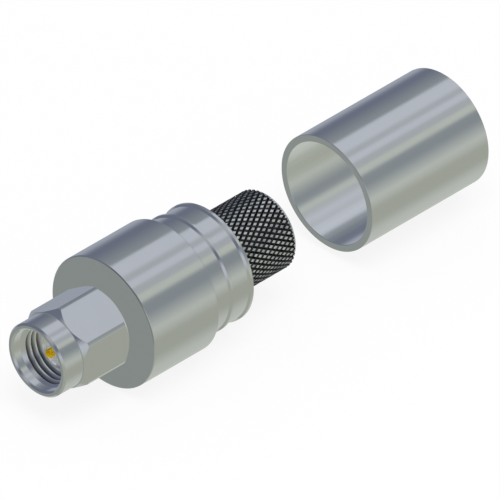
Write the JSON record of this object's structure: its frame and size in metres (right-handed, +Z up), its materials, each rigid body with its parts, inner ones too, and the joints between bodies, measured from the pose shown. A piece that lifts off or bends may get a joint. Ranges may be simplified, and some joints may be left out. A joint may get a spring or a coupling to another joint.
{
  "type": "sma coaxial cable connector",
  "caption": "SMA plug for crimping on thick coaxial cable, with a hexagonal coupling nut, gold pin, knurled crimp stem and a loose crimp ferrule drawn off behind it.",
  "frame": {"origin": "on the connector's axis in the reference plane, the front face of the outer conductor tube", "axes": "+X along the axis from the mating end to the cable end, +Z up through a corner of the nut's hexagon"},
  "size_m": [0.0553, 0.014, 0.014],
  "materials": {
    "nut_plate": "passivated stainless steel, fine turned",
    "body_plate": "brass, bright nickel plate",
    "ferrule_plate": "drawn tube, nickel plate, satin",
    "gold_plate": "gold plate, polished",
    "spring_bronze": "bare phosphor bronze",
    "ptfe": "natural PTFE, matte, slightly waxy",
    "silicone": "silicone rubber"
  },
  "bodies": {
    "connector": {"outer_conductor": "body_plate", "main_body": "body_plate", "crimp_body": "body_plate", "front_insulator": "ptfe", "rear_insulator": "ptfe", "centre_contact": "gold_plate", "interface_gasket": "silicone", "retaining_ring": "spring_bronze"},
    "nut": {"coupling_nut": "nut_plate"},
    "ferrule": {"crimp_ferrule": "ferrule_plate"}
  },
  "joints": [
    {"name": "nut_spin", "type": "hinge", "parent": "connector", "child": "nut", "pos_m": [0.00435, 0, 0], "axis": [-1, 0, 0], "continuous": true},
    {"name": "ferrule_slide", "type": "slide", "parent": "connector", "child": "ferrule", "axis": [-1, 0, 0], "range_m": [0, 0.0161]}
  ]
}
